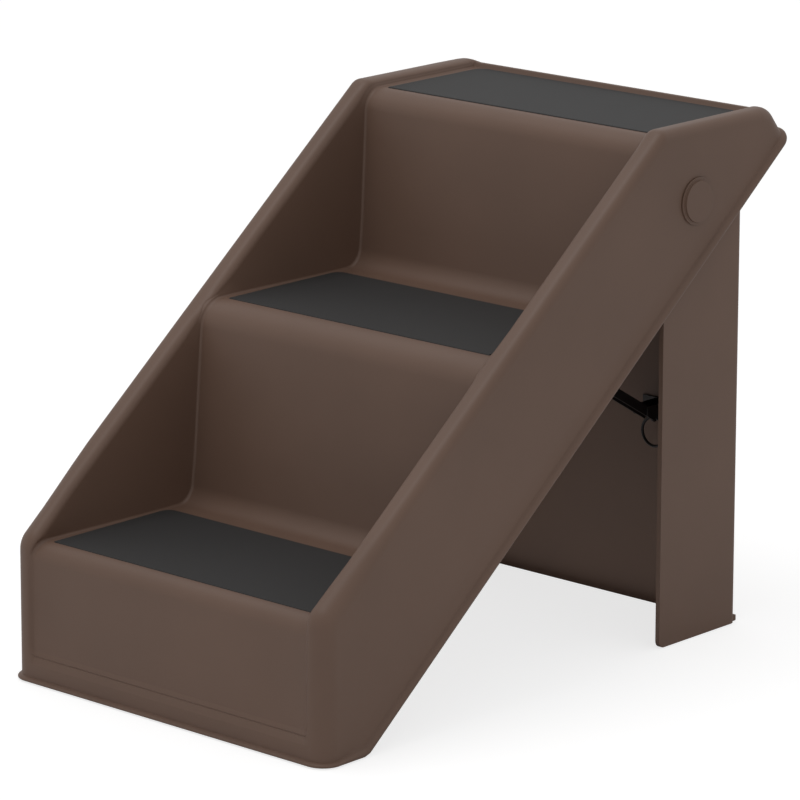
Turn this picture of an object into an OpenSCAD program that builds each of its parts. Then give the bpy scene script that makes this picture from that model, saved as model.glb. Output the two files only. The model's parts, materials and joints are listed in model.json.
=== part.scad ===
// Folding pet stairs: a moulded shell with three treads, a folding rear leg and two braces.
// X runs across the stairs, Y up the stairs from the front to the rear, and Z up.

/* [Stair shell] */
// Height of the side walls at the top
rim_h = 508; // [490:1:540]
// Height of the side walls at the front
front_h = 138; // [130:1:142]
// Width over the two side walls
body_w = 400; // [360:1:480]
// Slope of the side walls, in degrees
slope = 38.5; // [37.5:0.1:40]
// Distance from the plane of the open underside to the steps' lowest corner
corner_cover = 11; // [8:0.5:16]
// Thickness of the moulded skin
skin = 3.2; // [2.6:0.1:3.8]
// Width of each hollow side wall
wall_w = 31; // [28:1:36]
// Rounding of the edges of the side walls
rim_r = 10; // [6:0.5:12]
// Radius of the upright corners, seen from above
corner_r = 20; // [14:1:28]
// Rounding of the wall's front top corner, seen from the side
front_top_r = 24; // [12:1:32]
// Rounding where the sloping rim meets the level rim
rim_bend_r = 14; // [8:1:24]
// Rounding of the wall's rear top corner
rear_top_r = 20; // [12:1:28]
// Lean of the front face, in degrees
front_lean = 0.4; // [0:0.1:1]

/* [Treads] */
// Height of the first tread
first_tread_h = 135; // [126:1:140]
// Height of the second tread
second_tread_h = 327; // [318:1:334]
// Drop from the level rim to the top tread
top_tread_drop = 8; // [6:0.5:12]
// How far the second riser's line crosses over the rim line
second_nose_over = 5; // [2:0.5:7]
// Set-back of the third riser's top from the bend in the rim
third_riser_setback = 3.7; // [1:0.1:8]
// Depth of the top tread from its riser to the rear end
top_depth = 166.3; // [160:0.5:180]
// Lean of the second riser, in degrees
second_riser_lean = 7.8; // [5:0.1:9]
// Lean of the third riser, in degrees
third_riser_lean = 6.2; // [4:0.1:8]
// Rounding of the first tread's nose
first_nose_r = 17; // [12:1:20]
// Rounding of the second tread's nose
second_nose_r = 28; // [22:1:30]
// Rounding of the third tread's nose
third_nose_r = 22; // [16:1:26]
// Hollow rounding where a riser stands on a tread
cove_r = 20; // [12:1:24]
// Height of the lip behind the top tread
lip_h = 5; // [3:0.5:6]
// Width of the lip behind the top tread
lip_w = 7; // [5:0.5:9]
// Height of the plain band at the foot of the front
band_h = 28; // [20:1:40]
// Depth of the front panel behind that band
panel_depth = 3; // [2:0.5:4]
// How far the front panel reaches into each side wall
panel_reach = 9; // [5:0.5:12]

/* [Rim bead] */
// How far the bead round the open underside stands out
bead_out = 4; // [3:0.5:6]
// Thickness of the bead
bead_t = 6; // [4:0.5:9]

/* [Ribs] */
// Thickness of the ribs under the treads
rib_t = 2.2; // [1.8:0.1:3]
// Depth of the ribs under the treads
rib_h = 14; // [8:1:16]
// Distance from the middle to the outer ribs
outer_rib_x = 142; // [136:1:146]
// Distance from the middle to the inner ribs
inner_rib_x = 58; // [40:1:66]

/* [Mats] */
// Thickness of the grip mats
mat_t = 2.2; // [2:0.1:3]
// How far the mats stand above the treads
mat_proud = 1; // [0.5:0.1:1.2]
// Gap from a mat to the side wall
mat_side_gap = 3; // [2:0.5:6]
// Gap from the end of a tread's nose to its mat
mat_front_gap = 1; // [0.5:0.5:4]
// Gap from a mat to the riser behind it
mat_back_gap = 33; // [26:1:40]
// Rounding of the mats' rear corners
mat_r = 11; // [4:1:16]

/* [Rear leg] */
// Distance from the leg's pivot to the plane of the open underside
pivot_depth = 54; // [50:1:58]
// Distance along the slope from the pivot to the rear end
pivot_from_rear = 135; // [130:1:150]
// Distance from the pivot to the rear face of the leg
leg_back = 80; // [76:1:84]
// Distance from the pivot to the front edges of the leg
leg_front = 38; // [32:1:42]
// Thickness of the leg's walls
leg_t = 5; // [4:0.5:6]
// Gap between the leg and the outer skin of a side wall
leg_side_gap = 4; // [3:0.5:6]
// Rounding of the leg's rear corners
leg_corner_r = 8; // [6:0.5:12]
// How far the lip at the leg's foot stands out
foot_lip_out = 6; // [3:0.5:8]
// Height of the lip at the leg's foot
foot_lip_h = 6; // [4:0.5:8]
// Depth of the rail along the leg's head
head_rail_d = 12; // [8:1:14]

/* [Pivot plugs] */
// Radius of the plug's outer disc
plug_r = 23; // [18:1:26]
// Radius of the plug's raised face
plug_face_r = 20; // [14:1:22]
// Radius of the plug's shaft
plug_shaft_r = 8; // [6:0.5:10]
// Running clearance between a shaft and its bore
running_fit = 0.05; // [0.02:0.01:0.1]

/* [Braces] */
// Distance from the middle to each brace
brace_x = 100; // [94:1:106]
// Width of a brace
brace_w = 14; // [12:0.5:16]
// Depth of a brace
brace_h = 9; // [8:0.5:10]
// Thickness of the brace's sheet steel
brace_t = 1.6; // [1.2:0.1:2]
// Drop from the second tread to the brace's hinge
brace_hinge_drop = 33; // [31:1:34]
// Distance from the third riser's foot forward to the brace's hinge
brace_hinge_back = 35.7; // [33:0.5:38]
// Radius of the hinge rivets
hinge_pin_r = 2.5; // [2:0.1:3]

/* [Catches and rings] */
// Height of the brace's eye above the floor, with the leg open
eye_z = 194.4; // [190:0.5:198]
// Distance from the leg's web to the brace's eye
eye_gap = 12; // [10:0.5:13]
// Depth of the catch's cheeks in front of the leg's web
catch_d = 33; // [28:1:36]
// Height of the catch's cheeks at the front
cheek_h = 9; // [7:0.5:11]
// Thickness of the catch's spring steel
catch_t = 1.8; // [1.4:0.1:2.2]
// Radius of the pull ring to the middle of its wire
ring_r = 14.5; // [12:0.5:16]
// Radius of the pull ring's wire
wire_r = 1.5; // [1:0.1:1.8]

/* [Feet] */
// How far the rubber feet stand below the shell and the leg
foot_gap = 1; // [0.5:0.1:2]
// Radius of the rubber feet
foot_r = 9; // [6:0.5:10]

/* [Hidden] */
$fn = 64;

// Finishes
shell_brown = "#5b473f";
mat_grey = "#333436";
bright_steel = "#9a9a98";
dark_steel = "#2b2726";
rubber_black = "#222222";

// Small clearances and overruns
overrun = 10;       // how far a cut runs past what it cuts
fuse = 0.6;         // how far a rib or pad runs into the skin that carries it
seat_gap = 0.3;     // gap at a loose seat
arc_step = 15;      // largest angle that one facet of a rounded corner turns
rim_slices = 4;     // slices across the rounding of a side wall
step_set_in = 0.3;  // how far the steps' rear face lies inside the walls' rear faces

// Straight lines of the body
half_w = body_w / 2;
wall_in = half_w - wall_w;
front_y = bead_out;
front_top_y = front_y + front_h * tan(front_lean);
rim_bend_y = front_top_y + (rim_h - front_h) / tan(slope);
third_tread_h = rim_h - top_tread_drop;
second_riser_y = front_top_y + (second_tread_h - second_nose_over - front_h) / tan(slope);
third_riser_y = rim_bend_y - third_riser_setback;
second_base_y = second_riser_y - (second_tread_h - first_tread_h) * tan(second_riser_lean);
third_base_y = third_riser_y - (third_tread_h - second_tread_h) * tan(third_riser_lean);
body_t = max(below_rim(second_base_y, first_tread_h), below_rim(third_base_y, second_tread_h))
    + corner_cover;
plane_point = [front_top_y + body_t * sin(slope), front_h - body_t * cos(slope)];
foot_y = plane_point[0] - (plane_point[1] - foot_gap) / tan(slope);
panel_y = front_y + panel_depth;
first_riser_y = panel_y + first_tread_h * tan(front_lean);
rear_top_y = third_riser_y + top_depth;
rear_s = (rear_top_y - foot_y) * cos(slope) + (rim_h - foot_gap) * sin(slope);
body_d = on_slope(rear_s + bead_out, 0)[0];

// Depth of a point of the side view below the line of the sloping rim, square to the slope
function below_rim(y, z) = (y - front_top_y) * sin(slope) - (z - front_h) * cos(slope);

// A point of the side view, s along the slope from the foot and d inside the open underside
function on_slope(s, d) = [foot_y + s * cos(slope) - d * sin(slope),
                           foot_gap + s * sin(slope) + d * cos(slope)];
// Y of the steps' rear face at a height, a little inside the walls' rear faces
function rear_y(z) = rear_top_y + (rim_h - z) * tan(slope) - step_set_in / cos(slope);

// Outline tools: corners run anticlockwise, and a positive inset moves each edge inwards
function unit(v) = v / norm(v);
function left_of(v) = [-v[1], v[0]];
function at(list, i) = list[(i + len(list)) % len(list)];
function edge_dir(pts, i) = unit(at(pts, i + 1) - at(pts, i));
function moved_corner(pts, i, inset) =
    let (n1 = left_of(edge_dir(pts, i - 1)), n2 = left_of(edge_dir(pts, i)))
    at(pts, i) + inset * (n1 + n2) / (1 + n1 * n2);
function turn_at(pts, i) =
    let (a = edge_dir(pts, i - 1), b = edge_dir(pts, i))
    atan2(a[0] * b[1] - a[1] * b[0], a * b);
function turned(v, a) = [v[0] * cos(a) - v[1] * sin(a), v[0] * sin(a) + v[1] * cos(a)];
function corner_arc(pts, i, r) =
    let (turn = turn_at(pts, i), side = sign(turn), a = edge_dir(pts, i - 1))
    let (start = at(pts, i) - a * r * tan(abs(turn) / 2), out = -left_of(a) * r * side)
    let (centre = start - out, steps = max(1, ceil(abs(turn) / arc_step)))
    [for (k = [0:steps]) centre + turned(out, turn * k / steps)];
function rounded(pts, radii, inset = 0) =
    let (q = [for (i = [0:len(pts) - 1]) moved_corner(pts, i, inset)])
    [for (i = [0:len(q) - 1])
        let (r = radii[i] <= 0 ? 0 : radii[i] - inset * sign(turn_at(pts, i)))
        each (r <= 0 ? [q[i]] : corner_arc(q, i, r))];

// Outlines of the side view
below_foot = [foot_y + overrun * tan(slope / 2), foot_gap - overrun];
below_front = [front_y, foot_gap - overrun];
below_rear = on_slope(rear_s - step_set_in, -overrun);
wall_corners = [
    below_front, below_foot, on_slope(rear_s, -overrun),
    [rear_top_y, rim_h], [rim_bend_y, rim_h], [front_top_y, front_h]
];
wall_radii = [0, 0, 0, rear_top_r, rim_bend_r, front_top_r];
lip_z = third_tread_h + lip_h;
lip_y = rear_y(lip_z) - lip_w;
rising_corners = [
    [third_riser_y, third_tread_h], [third_base_y, second_tread_h],
    [second_riser_y, second_tread_h], [second_base_y, first_tread_h],
    [first_riser_y, first_tread_h], [panel_y, band_h + panel_depth], [front_y, band_h]
];
rising_radii = [third_nose_r, cove_r, second_nose_r, cove_r, first_nose_r, 0, 0];
lip_r_share = 0.6;
step_corners = concat(
    [below_front, below_foot, below_rear, [rear_y(lip_z), lip_z], [lip_y, lip_z],
     [lip_y - lip_h / 2, third_tread_h]],
    rising_corners);
step_radii = concat([0, 0, 0, lip_h * lip_r_share, lip_h * lip_r_share, 0], rising_radii);
hollow_corners = concat(
    [below_front, below_foot, below_rear, [rear_y(third_tread_h), third_tread_h]],
    rising_corners);
hollow_radii = concat([0, 0, 0, rear_top_r], rising_radii);
open_side = [
    [-overrun, foot_gap], [foot_y, foot_gap], on_slope(rear_s + overrun, 0),
    [body_d + overrun, rim_h + overrun], [-overrun, rim_h + overrun]
];
bead_outline = [
    [0, foot_gap], [foot_y, foot_gap], on_slope(rear_s + bead_out, 0),
    on_slope(rear_s + bead_out, bead_t),
    [foot_y - bead_t * tan(slope / 2), foot_gap + bead_t], [0, foot_gap + bead_t]
];

// Where the leg turns, and where its parts lie
pivot = on_slope(rear_s - pivot_from_rear, pivot_depth);
leg_half = half_w - skin - leg_side_gap;
leg_back_y = pivot[0] + leg_back;
web_y = leg_back_y - leg_t;
leg_front_y = pivot[0] - leg_front;
leg_top = third_tread_h - skin - seat_gap;
flange_top = pivot[1] + leg_front;
rail_front_y = web_y - head_rail_d;

// Where the braces turn, lie and end
brace_hinge = [third_base_y - brace_hinge_back, second_tread_h - brace_hinge_drop];
eye = [web_y - eye_gap, eye_z];
brace_reach = norm(eye - brace_hinge);
brace_angle = atan2(eye[1] - brace_hinge[1], eye[0] - brace_hinge[0]);
brace_tip = brace_reach + brace_h * 2 / 3;
flange_end = brace_reach - brace_h * 2 / 3;
cheek_gap = 0.6;
lug_t = 2.2;
lug_r = 4.2;
eye_r = wire_r + 2 * seat_gap;
lug_cut_share = 1 / 2;

// Brackets, bosses and fasteners under the second tread
boss_h = 10;
boss_r = 5.5;
screw_pitch = 34;
bracket_l = 46;
bracket_w = 21;
bracket_t = 1.8;
screw_r = 1.75;
screw_head_r = 3.6;
screw_head_h = 2.2;
screw_l = 9;
rivet_head_r = 4;
rivet_head_h = 1.5;
bracket_z = second_tread_h - skin - boss_h;

// Catches and their rivets on the web of the leg
catch_w = 46;
catch_h = 22;
cheek_top_z = eye_z + 15.6;
cheek_drop_share = 0.75;
catch_rivet_r = 2;
catch_rivet_x = 17;
dimple_r = 2.5;

// Pads for the rubber feet
pad_t = 4;
pad_w = 27;
pad_rise = 2;
stud_r = 4;
foot_inset = 14;
pad_z = foot_gap + pad_rise;

// Washers and clips on the plugs
clip_t = 1.5;
clip_r = 12;
washer_r = 14;
plug_step_share = 0.45;
shaft_end = leg_half - leg_t - 3 * clip_t;

module in_frame() {
    translate([0, -body_d / 2, 0]) children();
}

// Pushes a side view along X from x0 to x1
module along_x(x0, x1) {
    translate([x0, 0, 0]) rotate([90, 0, 90]) linear_extrude(x1 - x0) children();
}

module both_sides() {
    children();
    mirror([1, 0, 0]) children();
}

// A hollow side wall's solid, with its rim rounded by slices
module wall_solid(inset) {
    r = rim_r - inset;
    hull() for (k = [0:rim_slices]) {
        back = r * (1 - cos(90 * k / rim_slices));
        down = r * (1 - sin(90 * k / rim_slices));
        along_x(wall_in + inset + back, half_w - inset - back)
            polygon(rounded(wall_corners, wall_radii, inset + down));
    }
}

// The whole body seen from above, grown or shrunk by the inset
module plan_prism(inset) {
    x = half_w - inset;
    y0 = front_y + inset;
    y1 = on_slope(rear_s, 0)[0] - inset;
    r = corner_r - inset;
    translate([0, 0, -overrun]) linear_extrude(rim_h + 2 * overrun)
        polygon(rounded([[-x, y0], [x, y0], [x, y1], [-x, y1]], [r, r, r, r]));
}

// The recessed front panel, which runs a little way into the side walls
module panel_pocket(inset) {
    x = wall_in + panel_reach + inset;
    z0 = foot_gap + band_h - inset;
    z1 = front_h - first_nose_r + inset;
    r = panel_reach + inset;
    translate([0, panel_y + inset, 0]) rotate([90, 0, 0]) linear_extrude(panel_y + inset + overrun)
        polygon(rounded([[-x, z0], [x, z0], [x, z1], [-x, z1]], [r / 2, r / 2, r, r]));
}

// The body as a solid: the outer one has no inset, and the hollow is inset by the skin
module body_solid(inset, corners, radii) {
    difference() {
        intersection() {
            union() {
                both_sides() wall_solid(inset);
                along_x(-wall_in - inset - fuse, wall_in + inset + fuse)
                    polygon(rounded(corners, radii, inset));
                if (inset == 0) end_panels();
            }
            plan_prism(inset);
        }
        panel_pocket(inset);
    }
}

// The steps' outline at the front and the rear end, wide enough to meet the walls' flat faces
module end_panels() {
    along_x(-wall_in - rim_r - fuse, wall_in + rim_r + fuse) intersection() {
        polygon(rounded(step_corners, step_radii));
        union() {
            translate([0, foot_gap - overrun]) square([front_y + rim_r, rim_h]);
            polygon([on_slope(rear_s - rim_r, -overrun), on_slope(rear_s, -overrun),
                     on_slope(rear_s, body_t), on_slope(rear_s - rim_r, body_t)]);
        }
    }
}

module bead_solid() {
    intersection() {
        along_x(-half_w - bead_out, half_w + bead_out) polygon(bead_outline);
        plan_prism(-bead_out);
    }
}

// The recess of one mat, or the mat itself
module mat_plate(y0, y1, z, h, grow) {
    x = wall_in - mat_side_gap + grow;
    r = mat_r + grow;
    translate([0, 0, z]) linear_extrude(h)
        polygon(rounded([[-x, y0 - grow], [x, y0 - grow], [x, y1 + grow], [-x, y1 + grow]],
                        [0, 0, r, r]));
}

function nose_end(riser_y, lean, r) = riser_y + r * tan((90 - lean) / 2);
mats = [
    [nose_end(first_riser_y, front_lean, first_nose_r) + mat_front_gap,
     second_base_y - mat_back_gap, first_tread_h],
    [nose_end(second_riser_y, second_riser_lean, second_nose_r) + mat_front_gap,
     third_base_y - mat_back_gap, second_tread_h],
    [nose_end(third_riser_y, third_riser_lean, third_nose_r) + mat_front_gap,
     lip_y - lip_h / 2 - mat_front_gap, third_tread_h]
];
mat_fit = 0.4;

module mat(i) {
    m = mats[i];
    color(mat_grey) in_frame() mat_plate(m[0], m[1], m[2] + mat_proud - mat_t, mat_t, 0);
}

// One rib under a tread, between two depths of the stairs
module rib_plate(y0, y1, tread_z) {
    z0 = tread_z - skin - rib_h;
    intersection() {
        polygon(rounded(hollow_corners, hollow_radii, skin - fuse));
        polygon([[y0, z0], [y1, z0], [y1, tread_z], [y0, tread_z]]);
        polygon(open_side);
    }
}

module ribs() {
    for (x = [-outer_rib_x, -inner_rib_x, 0, inner_rib_x, outer_rib_x])
        along_x(x - rib_t / 2, x + rib_t / 2) {
            rib_plate(front_y, second_base_y, first_tread_h);
            rib_plate(second_base_y, third_base_y, second_tread_h);
            rib_plate(third_base_y, rail_front_y - foot_lip_h, third_tread_h);
        }
}

module screw_places() {
    for (y = [-screw_pitch / 2, screw_pitch / 2])
        translate([brace_x, brace_hinge[0] + y, bracket_z]) children();
}

// A moulded pad in a lower corner, which holds a rubber foot
module foot_pad(x, y, dir) {
    translate([x - pad_w, dir > 0 ? y : y - pad_w, pad_z]) cube([pad_w, pad_w, pad_t]);
}

front_pad = [half_w - skin + fuse, front_y + skin - fuse];
leg_pad = [leg_half - leg_t + fuse, web_y + fuse];

module stair_shell() {
    color(shell_brown) in_frame() difference() {
        union() {
            difference() {
                union() {
                    intersection() {
                        body_solid(0, step_corners, step_radii);
                        along_x(-body_w, body_w) polygon(open_side);
                    }
                    bead_solid();
                }
                body_solid(skin, hollow_corners, hollow_radii);
            }
            ribs();
            both_sides() screw_places() cylinder(r = boss_r, h = boss_h + fuse);
            both_sides() intersection() {
                foot_pad(front_pad[0], front_pad[1], 1);
                plan_prism(skin - fuse);
            }
        }
        for (m = mats)
            mat_plate(m[0], m[1], m[2] + mat_proud - mat_t, mat_t + overrun, mat_fit);
        both_sides() {
            translate([0, pivot[0], pivot[1]]) rotate([0, 90, 0])
                cylinder(r = plug_shaft_r + running_fit, h = body_w);
            screw_places() translate([0, 0, -fuse])
                cylinder(r = screw_r + running_fit, h = screw_l + fuse, $fn = 32);
            translate([half_w - skin - foot_inset, front_y + skin + foot_inset, 0])
                cylinder(r = stud_r + running_fit, h = pad_z + pad_t + overrun);
        }
    }
}

module rear_leg() {
    color(shell_brown) in_frame() difference() {
        union() {
            intersection() {
                leg_channel();
                along_x(-body_w, body_w) leg_side();
            }
            head_rail();
            foot_lip();
            both_sides() foot_pad(leg_pad[0], leg_pad[1], -1);
        }
        both_sides() {
            translate([0, pivot[0], pivot[1]]) rotate([0, 90, 0])
                cylinder(r = plug_shaft_r + running_fit, h = body_w);
            catch_rivet_places() translate([0, 0, -overrun])
                cylinder(r = catch_rivet_r + running_fit, h = leg_t + 2 * overrun, $fn = 32);
            translate([leg_half - leg_t - foot_inset, web_y - foot_inset, 0])
                cylinder(r = stud_r + running_fit, h = pad_z + pad_t + overrun);
        }
    }
}

// The leg seen from above: a web behind and a flange at each side
module leg_channel() {
    x = leg_half;
    y0 = leg_front_y;
    y1 = leg_back_y;
    radii = [0, 0, leg_corner_r, leg_corner_r];
    inner_y0 = y0 - overrun;
    translate([0, 0, foot_gap]) linear_extrude(leg_top - foot_gap) difference() {
        polygon(rounded([[-x, y0], [x, y0], [x, y1], [-x, y1]], radii));
        polygon(rounded([[-x, inner_y0], [x, inner_y0], [x, y1], [-x, y1]], radii, leg_t));
    }
}

// The leg seen from the side: flanges round the pivot, and a web up to the tread
module leg_side() {
    polygon(rounded(
        [[leg_front_y, foot_gap], [leg_back_y, foot_gap],
         [leg_back_y, flange_top], [leg_front_y, flange_top]],
        [0, 0, 0, leg_front - fuse]));
    polygon([[web_y, foot_gap], [leg_back_y, foot_gap], [leg_back_y, leg_top], [web_y, leg_top]]);
}

module head_rail() {
    x = leg_half - leg_corner_r;
    translate([-x, rail_front_y, leg_top - leg_t])
        cube([2 * x, head_rail_d + leg_t / 2, leg_t]);
}

module foot_lip() {
    x = leg_half - leg_corner_r / 2;
    translate([-x, leg_back_y - leg_t / 2, foot_gap])
        cube([2 * x, foot_lip_out + leg_t / 2, foot_lip_h]);
}

// Plugs: a stepped disc on the wall and a shaft through the wall and the leg
module pivot_plug() {
    step = bead_out * plug_step_share;
    translate([0, pivot[0], pivot[1]]) rotate([0, 90, 0]) {
        translate([0, 0, shaft_end]) cylinder(r = plug_shaft_r, h = half_w - shaft_end + fuse);
        translate([0, 0, half_w]) cylinder(r = plug_r, h = step);
        translate([0, 0, half_w]) cylinder(r = plug_face_r, h = bead_out);
    }
}

module pivot_plug_right() {
    color(shell_brown) in_frame() pivot_plug();
}

module pivot_plug_left() {
    color(shell_brown) in_frame() mirror([1, 0, 0]) pivot_plug();
}

// A flat ring on a plug's shaft, from x0 outwards
module shaft_ring(x0, thickness, r) {
    translate([x0, pivot[0], pivot[1]]) rotate([0, 90, 0]) difference() {
        cylinder(r = r, h = thickness);
        translate([0, 0, -overrun])
            cylinder(r = plug_shaft_r + running_fit, h = thickness + 2 * overrun);
    }
}

module pivot_washers() {
    color(rubber_black) in_frame() both_sides()
        shaft_ring(leg_half + seat_gap, leg_side_gap - seat_gap, washer_r);
}

module pivot_clips() {
    color(bright_steel) in_frame() both_sides()
        shaft_ring(leg_half - leg_t - seat_gap - clip_t, clip_t, clip_r);
}

// The brace lies along U from its hinge, and is then turned and moved into place
module in_brace() {
    translate([brace_x, brace_hinge[0], brace_hinge[1]]) rotate([brace_angle, 0, 0]) children();
}

module brace() {
    h = brace_h / 2;
    w = brace_w / 2;
    in_brace() difference() {
        union() {
            difference() {
                along_x(-w, w) {
                    circle(r = h);
                    translate([0, -h]) square([flange_end, brace_h]);
                }
                along_x(-w + brace_t, w - brace_t)
                    translate([-overrun, -h - overrun])
                        square([brace_tip + 2 * overrun, brace_h - brace_t + overrun]);
            }
            along_x(-w, w) translate([0, h - brace_t]) square([brace_tip, brace_t]);
            along_x(-lug_t / 2, lug_t / 2) {
                translate([brace_reach, 0]) circle(r = lug_r);
                translate([brace_reach - lug_r, 0]) square([2 * lug_r, h - brace_t * lug_cut_share]);
            }
        }
        translate([-brace_w, 0, 0]) rotate([0, 90, 0])
            cylinder(r = hinge_pin_r + running_fit, h = 2 * brace_w);
        translate([-brace_w, brace_reach, 0]) rotate([-brace_angle, 0, 0])
            translate([0, 0, seat_gap]) rotate([0, 90, 0])
                cylinder(r = eye_r, h = 2 * brace_w, $fn = 32);
    }
}

module brace_right() {
    color(dark_steel) in_frame() brace();
}

module brace_left() {
    color(dark_steel) in_frame() mirror([1, 0, 0]) brace();
}

// A folded hinge bracket: a plate on the bosses and two cheeks beside the brace
module brace_bracket() {
    in_x = brace_w / 2 + cheek_gap;
    cheek_r = hinge_pin_r * 2 + bracket_t;
    rise = bracket_z - brace_hinge[1];
    translate([brace_x, brace_hinge[0], brace_hinge[1]]) difference() {
        union() {
            translate([-bracket_w / 2, -bracket_l / 2, rise - bracket_t])
                cube([bracket_w, bracket_l, bracket_t]);
            both_sides() along_x(in_x, in_x + bracket_t) {
                circle(r = cheek_r);
                translate([-cheek_r, 0]) square([2 * cheek_r, rise - bracket_t / 2]);
            }
        }
        translate([-bracket_w, 0, 0]) rotate([0, 90, 0])
            cylinder(r = hinge_pin_r + running_fit, h = 2 * bracket_w);
        for (y = [-screw_pitch / 2, screw_pitch / 2])
            translate([0, y, rise - bracket_t - fuse])
                cylinder(r = screw_r + running_fit, h = bracket_t + 2 * fuse, $fn = 32);
    }
}

module brace_bracket_right() {
    color(bright_steel) in_frame() brace_bracket();
}

module brace_bracket_left() {
    color(bright_steel) in_frame() mirror([1, 0, 0]) brace_bracket();
}

module hinge_pins() {
    x = brace_w / 2 + cheek_gap + bracket_t;
    color(bright_steel) in_frame() both_sides()
        translate([brace_x, brace_hinge[0], brace_hinge[1]]) rotate([0, 90, 0]) {
            translate([0, 0, -x]) cylinder(r = hinge_pin_r, h = 2 * x);
            translate([0, 0, -x - rivet_head_h]) cylinder(r = rivet_head_r, h = rivet_head_h);
            translate([0, 0, x]) cylinder(r = rivet_head_r, h = rivet_head_h);
        }
}

module bracket_screws() {
    color(bright_steel) in_frame() both_sides() screw_places() {
        translate([0, 0, -bracket_t - screw_head_h]) cylinder(r = screw_head_r, h = screw_head_h);
        translate([0, 0, -bracket_t - fuse])
            cylinder(r = screw_r, h = screw_l + bracket_t, $fn = 32);
    }
}

// The catch's rivets, along Y through the plate and the web
module catch_rivet_places() {
    for (x = [-catch_rivet_x, catch_rivet_x])
        translate([brace_x + x, web_y, cheek_top_z - cheek_h]) rotate([-90, 0, 0]) children();
}

// A snap catch: a plate on the web and two cheeks that hold the brace's end
module catch() {
    in_x = brace_w / 2 + cheek_gap;
    z0 = cheek_top_z - cheek_h;
    plate_y = web_y - catch_t;
    front = web_y - catch_d;
    plate_z = cheek_top_z - catch_h + catch_t;
    difference() {
        union() {
            translate([brace_x - catch_w / 2, plate_y, plate_z])
                cube([catch_w, catch_t, catch_h]);
            translate([brace_x, 0, 0]) both_sides() along_x(in_x, in_x + catch_t)
                polygon([
                    [front, z0], [plate_y + catch_t / 2, z0 - cheek_h * cheek_drop_share],
                    [plate_y + catch_t / 2, cheek_top_z], [front, cheek_top_z]
                ]);
            translate([brace_x, front + cheek_h, z0 + cheek_h / 2]) both_sides()
                translate([in_x + dimple_r - seat_gap, 0, 0]) intersection() {
                    sphere(r = dimple_r);
                    translate([-2 * dimple_r, -dimple_r, -dimple_r])
                        cube([dimple_r * 2 + catch_t / 2 - dimple_r + seat_gap,
                              2 * dimple_r, 2 * dimple_r]);
                }
        }
        catch_rivet_places() translate([0, 0, -overrun])
            cylinder(r = catch_rivet_r + running_fit, h = 2 * overrun, $fn = 32);
    }
}

module catch_right() {
    color(dark_steel) in_frame() catch();
}

module catch_left() {
    color(dark_steel) in_frame() mirror([1, 0, 0]) catch();
}

module catch_rivets() {
    color(bright_steel) in_frame() both_sides() catch_rivet_places() {
        translate([0, 0, -catch_t]) cylinder(r = catch_rivet_r, h = catch_t + leg_t, $fn = 32);
        translate([0, 0, -catch_t - rivet_head_h]) cylinder(r = rivet_head_r, h = rivet_head_h);
        translate([0, 0, leg_t]) cylinder(r = rivet_head_r, h = rivet_head_h);
    }
}

// The ring hangs in the brace's eye, flat in front of the web
module pull_ring() {
    translate([brace_x, eye[0], eye[1] - ring_r]) rotate([90, 0, 0])
        rotate_extrude($fn = 96) translate([ring_r, 0]) circle(r = wire_r, $fn = 24);
}

module pull_ring_right() {
    color(dark_steel) in_frame() pull_ring();
}

module pull_ring_left() {
    color(dark_steel) in_frame() mirror([1, 0, 0]) pull_ring();
}

// A rubber foot: a pad on the floor and a stud through the moulded pad
module rubber_foot(x, y) {
    color(rubber_black) in_frame() translate([x, y, 0]) {
        cylinder(r = foot_r, h = pad_z);
        cylinder(r = stud_r, h = pad_z + pad_t);
        translate([0, 0, pad_z + pad_t]) cylinder(r = stud_r + fuse, h = pad_t / 2);
    }
}

front_foot = [half_w - skin - foot_inset, front_y + skin + foot_inset];
leg_foot = [leg_half - leg_t - foot_inset, web_y - foot_inset];

module front_foot_right() { rubber_foot(front_foot[0], front_foot[1]); }
module front_foot_left() { rubber_foot(-front_foot[0], front_foot[1]); }
module leg_foot_right() { rubber_foot(leg_foot[0], leg_foot[1]); }
module leg_foot_left() { rubber_foot(-leg_foot[0], leg_foot[1]); }

stair_shell();
mat(0);  // lower_mat
mat(1);  // middle_mat
mat(2);  // upper_mat
rear_leg();
pivot_plug_left();
pivot_plug_right();
pivot_washers();
pivot_clips();
brace_left();
brace_right();
brace_bracket_left();
brace_bracket_right();
hinge_pins();
bracket_screws();
catch_left();
catch_right();
catch_rivets();
pull_ring_left();
pull_ring_right();
front_foot_left();
front_foot_right();
leg_foot_left();
leg_foot_right();
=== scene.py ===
# %% [markdown]
# # Folding pet stairs
# The real object is one moulded plastic shell with three treads, a moulded leg that folds
# under its rear end, grip mats on the treads, and small steel parts that hold the leg open.
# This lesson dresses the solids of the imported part: each step makes one piece or one finish.
# Lengths are written in millimetres and turned into Blender's metres where a mesh is made.

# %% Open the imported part
import json
import math

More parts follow.
